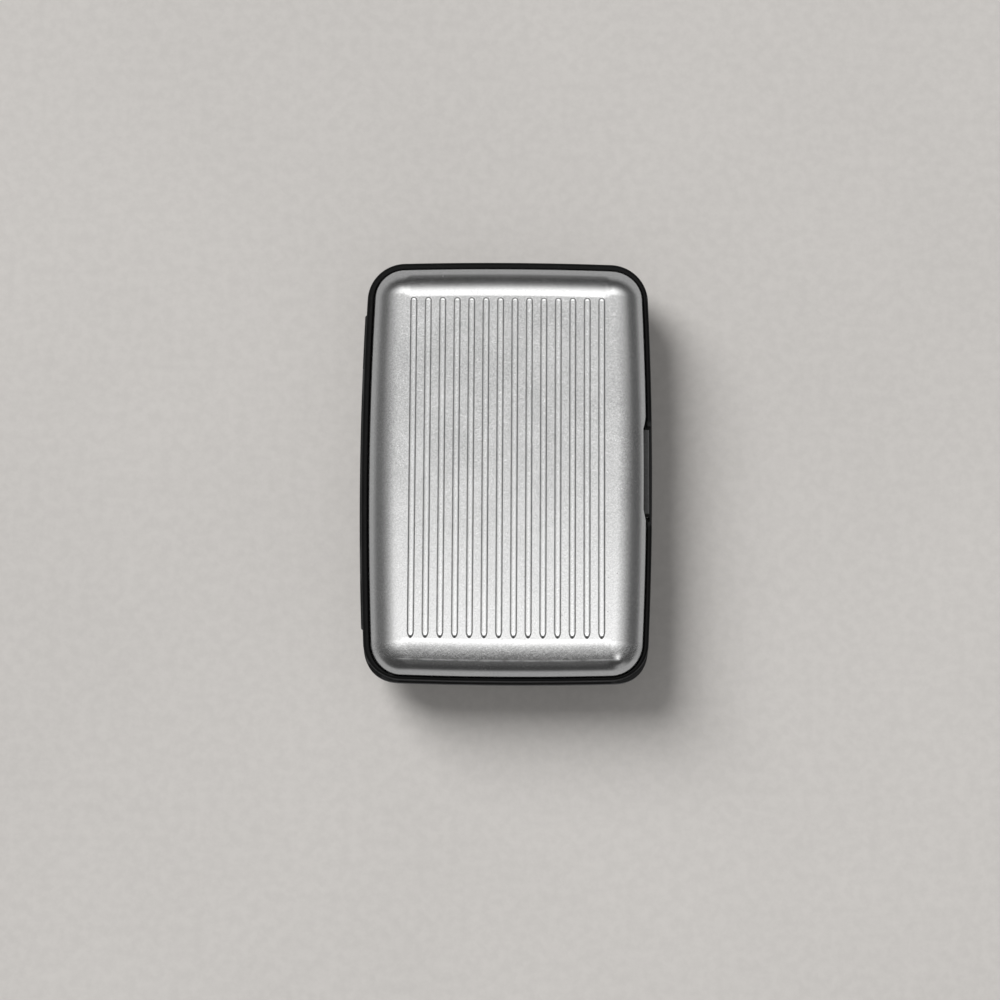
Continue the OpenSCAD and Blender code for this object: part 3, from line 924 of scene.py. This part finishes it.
# The spring: half its chord, the rise of its bow, its thickness and its lower and upper edges.
SPRING_HALF, SPRING_RISE, SPRING_T = 7.6, 0.65, 0.15
SPRING_LOW, SPRING_HIGH = 8.5, 9.7
SPRING_R = (SPRING_HALF**2 + SPRING_RISE**2) / (2 * SPRING_RISE)
spring_rings = []
for y in np.linspace(-SPRING_HALF, SPRING_HALF, 33):
    front = BUTTON_IN - SPRING_R + math.sqrt(SPRING_R**2 - y * y)
    back = front - SPRING_T
    spring_rings.append(np.array([(front, y, SPRING_LOW), (front, y, SPRING_HIGH),
                                  (back, y, SPRING_HIGH), (back, y, SPRING_LOW)]))
spring = make_object("latch_leaf_spring", *loft(spring_rings, caps=True), STEEL)
bevel(spring, 0.03, 2, 40)
shade(spring)
place(spring, "base", "steel", "latch_spring")
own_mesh(spring)


# ---------------------------------------------------------------- liners and pockets


def plate_outline(w, l, r, notch=0.0, centre=(0.0, 0.0), arc=10):
    """A rounded plate with, when notch is set, a round thumb notch in its +X edge."""
    points = []
    for sx, sy, start in ((1, 1, 0), (-1, 1, 90), (-1, -1, 180), (1, -1, 270)):
        for k in range(arc + 1):
            a = math.radians(start + 90 * k / arc)
            points.append((sx * (w / 2 - r) + r * math.cos(a), sy * (l / 2 - r) + r * math.sin(a)))
    if notch:
        for k in range(25):
            a = math.radians(270 - 180 * k / 24)
            points.append((w / 2 + notch * math.cos(a), notch * math.sin(a)))
    return [(x + centre[0], y + centre[1]) for x, y in points]


def plate(name, outline, low, high, mat, edge):
    """A flat sheet with softened edges."""
    obj = make_object(name, *extrude(outline, low, high, axis="z"), mat)
    bevel(obj, edge, 2, 30)
    shade(obj)
    return obj


LINER_W, LINER_L, LINER_R = 53.4, 88.8, 4
for liner_name, low, high, body in (("base_liner", 1.0, 2.0, "base"), ("lid_liner", 18.05, 19.0, "lid")):
    outline = plate_outline(LINER_W, LINER_L, LINER_R)
    liner = plate(liner_name + "_sheet", outline, low, high, LINER_PLASTIC, 0.15)
    place(liner, body, "liner_plastic", liner_name)

# Width, length and corner radius of a leaf, its thumb notch and the X of its middle.
LEAF_W, LEAF_L, LEAF_R, THUMB_R, LEAF_X = 57, 95, 5, 9, -2.5
LEAF_T = 0.4
LEAF_PITCH = 2.6
LEAF_COUNT = 7
FIRST_LEAF_Z = 2.0
LEAF_BODY = {1: "base"}
for k in range(2, LEAF_COUNT + 1):
    LEAF_BODY[k] = f"leaf_{k}"

for k in range(1, LEAF_COUNT + 1):
    low = FIRST_LEAF_Z + (k - 1) * LEAF_PITCH
    outline = plate_outline(LEAF_W, LEAF_L, LEAF_R, notch=THUMB_R, centre=(LEAF_X, 0))
    leaf = plate(f"pocket_leaf_{k}_film", outline, low, low + LEAF_T, LEAF_PLASTIC, 0.1)
    place(leaf, LEAF_BODY[k], "leaf_plastic", f"pocket_leaf_{k}")


# A gusset: its gap to the leaves, the Y of its rim, the depth of its fold, how sharply it folds, half its
# film's thickness, the X of its rear and front, and the rear strip's thickness and half length.
PLEAT_GAP, PLEAT_RIM, PLEAT_DEPTH, PLEAT_FOLD = 0.04, 47.3, 4.2, 1.15
PLEAT_HALF_T, PLEAT_REAR, PLEAT_FRONT = 0.1, -31.0, 24.0
STRIP_T, STRIP_HALF = 0.2, 46.4
PLEAT_STEPS = 24


def pleat_rings(s, low, high):
    """Sections along X of the pleat at +Y (s of 1) or -Y (-1), folded inwards between two heights."""
    path = []
    for i in range(PLEAT_STEPS + 1):
        t = i / PLEAT_STEPS
        inward = PLEAT_DEPTH * (1 - abs(2 * t - 1) ** PLEAT_FOLD)
        path.append((s * (PLEAT_RIM - inward), low + PLEAT_HALF_T * 0.5 + t * (high - low - PLEAT_HALF_T)))
    path = np.array(path)
    tangent = np.gradient(path, axis=0)
    tangent /= np.linalg.norm(tangent, axis=1)[:, None]
    normal = np.column_stack([-tangent[:, 1], tangent[:, 0]])
    # Close to the leaves the film is cut off level.
    from_end = np.minimum(np.arange(PLEAT_STEPS + 1), np.arange(PLEAT_STEPS + 1)[::-1])
    normal[:, 1] *= np.minimum(1, from_end / 3.0)
    loop = np.concatenate([path + normal * PLEAT_HALF_T, (path - normal * PLEAT_HALF_T)[::-1]])
    loop[:, 1] = np.clip(loop[:, 1], low, high)
    xs = np.linspace(PLEAT_REAR, PLEAT_FRONT, 12)
    return [np.column_stack([np.full(len(loop), x), loop[:, 0], loop[:, 1]]) for x in xs]


def strip_rings(low, high):
    """The two ends of the strip along the pocket's rear."""
    zs = np.linspace(low, high, 9)
    front = PLEAT_REAR + STRIP_T
    section = [(PLEAT_REAR, z) for z in zs] + [(front, z) for z in zs[::-1]]
    return [np.array([(x, y, z) for x, z in section]) for y in (-STRIP_HALF, STRIP_HALF)]


def gusset(k):
    """Two side pleats folded inwards and the strip that closes the pocket's rear edge."""
    low = FIRST_LEAF_Z + (k - 1) * LEAF_PITCH + LEAF_T + PLEAT_GAP
    high = FIRST_LEAF_Z + k * LEAF_PITCH - PLEAT_GAP
    verts, faces = [], []
    for rings in (pleat_rings(-1, low, high), pleat_rings(1, low, high), strip_rings(low, high)):
        v, f = loft(rings, caps=True)
        offset = sum(len(a) for a in verts)
        verts.append(v)
        faces += [tuple(i + offset for i in face) for face in f]
    obj = make_object(f"pocket_gusset_{k}_film", np.concatenate(verts), faces, PLEAT_PLASTIC, 50)
    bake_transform(obj)
    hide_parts(f"pocket_gusset_{k}")


for k in range(1, LEAF_COUNT):
    gusset(k)


# ---------------------------------------------------------------- stage

FLOOR_HALF = 3.0
floor_mesh = bpy.data.meshes.new("floor")
floor_mesh.from_pydata([(x * FLOOR_HALF, y * FLOOR_HALF, 0) for x, y in ((-1, -1), (1, -1), (1, 1), (-1, 1))],
                       [], [(0, 1, 2, 3)])
floor_obj = bpy.data.objects.new("floor", floor_mesh)
bpy.context.scene.collection.objects.link(floor_obj)
floor_mesh.materials.append(floor_material())

scene = bpy.context.scene
scene.view_settings.view_transform = "Standard"


def key_light(towards, angle, strength):
    """A broad, distant light that models the floor's shadow; reflections show the studio alone."""
    light = bpy.data.lights.new("key", "SUN")
    light.angle = angle
    light.energy = strength
    obj = bpy.data.objects.new("key", light)
    scene.collection.objects.link(obj)
    obj.rotation_mode = "QUATERNION"
    obj.rotation_quaternion = Vector(towards).to_track_quat("Z", "Y")
    obj.visible_glossy = False


key_light((-0.96, 1.0, 0.97), math.radians(36), 3.38)

# Radiance of the studio over the case, by angle from overhead: towards +Y (first table), and its fall
# towards either side in X (second table).
OVERHEAD = ((-70, 0.0), (-58, 0.0), (-50, 0.01), (-42, 0.03), (-35, 0.08), (-30, 0.15), (-25, 0.26),
            (-21, 0.4), (-17, 0.62), (-12, 0.98), (-8, 1.3), (2, 1.42), (4.5, 1.42), (6, 1.32),
            (7.2, 0.96), (8.5, 0.56), (10, 0.28), (12, 0.1), (14, 0.15), (15.5, 0.55), (17.5, 1.25),
            (27, 1.35), (33, 1.3), (36.5, 0.92), (39.5, 0.56), (43, 0.28), (47, 0.1), (52, 0.02), (57, 0.0))
ACROSS = ((-62, 0.0), (-56, 0.015), (-50, 0.07), (-44, 0.17), (-37, 0.29), (-30, 0.44), (-24, 0.63),
          (-16, 0.81), (-8, 0.9), (-2, 0.91), (4, 1.0), (8, 1.0), (16, 0.88), (24, 0.66), (30, 0.49),
          (37, 0.32), (44, 0.18), (50, 0.06), (56, 0.01), (62, 0.0))
# Radiance of the studio's wall, of the floor as reflections see it, and of the even light on dull faces.
HORIZON = 0.15
BELOW = 0.36
AMBIENT = 0.32


def table(graph, value, stops, scale=1.5):
    """A value looked up in (angle in degrees, level) stops."""
    low, high = stops[0][0], stops[-1][0]
    share = graph.ramp(value, math.radians(low), math.radians(high), kind="LINEAR")
    ramp = graph.add("ShaderNodeValToRGB", {0: share})
    elements = ramp.node.color_ramp.elements
    while len(elements) < len(stops):
        elements.new(0.5)
    for element, (angle, level) in zip(elements, stops):
        element.position = (angle - low) / (high - low)
        element.color = (level / scale,) * 3 + (1,)
    return graph.math("MULTIPLY", ramp, scale)


world = bpy.data.worlds.new("studio")
scene.world = world
world.use_nodes = True
world.cycles.sampling_method = "NONE"
wg = Graph(world.node_tree)
axes = wg.add("ShaderNodeSeparateXYZ", {0: wg.add("ShaderNodeTexCoord", out=0)})
wx, wy, wz = axes.node.outputs
lit = wg.math("MULTIPLY", table(wg, wg.math("ARCTAN2", wy, wz), OVERHEAD),
              table(wg, wg.math("ARCTAN2", wx, wz), ACROSS))
lit = wg.math("MULTIPLY", lit, wg.ramp(wz, 0.0, 0.1))
# The wall round the studio, dimmer towards both ends of Y and towards +X, and the pale floor that the
# case's steep sides show.
wall = wg.math("MULTIPLY", wg.ramp(wy, -0.9, 0.1, 0.35, 1.0), HORIZON)
wall = wg.math("MULTIPLY", wall, wg.ramp(wy, 0.3, 0.9, 1.0, 0.35))
wall = wg.math("MULTIPLY", wall, wg.ramp(wx, 0.5, 0.8, 1.0, 0.72))
height = wg.math("SUBTRACT", wz, wg.math("MULTIPLY", wg.math("MAXIMUM", wy, 0.0), 0.22))
floor_share = wg.ramp(height, 0.28, -0.12)
studio = wg.math("ADD", wg.math("MULTIPLY", wall, wg.math("SUBTRACT", 1.0, floor_share)),
                 wg.math("MULTIPLY", floor_share, BELOW))
studio = wg.math("ADD", studio, lit)
glossy = wg.add("ShaderNodeLightPath").node.outputs["Is Glossy Ray"]
radiance = wg.mix(glossy, wg.grey(AMBIENT), wg.grey(studio))
background = wg.add("ShaderNodeBackground", {"Color": radiance, "Strength": 1.0})
wg.add("ShaderNodeOutputWorld", {"Surface": background})
# Reflections show the floor as the world below the horizon, which is even all round the case.
floor_obj.visible_glossy = False

# ---------------------------------------------------------------- camera

# The point looked at, the distance from it in metres, the lean from overhead towards -Y, the roll and the
# lens in millimetres.
CAM_TARGET = Vector((-1.73, -7.32, 10.0)) * MM
CAM_DISTANCE = 0.762
CAM_TILT = math.radians(9.26)
CAM_ROLL = math.radians(0.34)
CAM_LENS = 105.5

camera_data = bpy.data.cameras.new("camera")
camera = bpy.data.objects.new("camera", camera_data)
scene.collection.objects.link(camera)
scene.camera = camera
camera_data.lens = CAM_LENS
camera_data.sensor_width = 36.0
camera_data.clip_start, camera_data.clip_end = 0.01, 20.0
back = Vector((0, -math.sin(CAM_TILT), math.cos(CAM_TILT)))
right = (-back).cross(Vector((0, 1, 0))).normalized()
up = right.cross(-back)
cos_r, sin_r = math.cos(CAM_ROLL), math.sin(CAM_ROLL)
image_x = right * cos_r + up * sin_r
image_y = up * cos_r - right * sin_r
camera.matrix_world = (Matrix.Translation(CAM_TARGET + back * CAM_DISTANCE)
                       @ Matrix((image_x, image_y, back)).transposed().to_4x4())
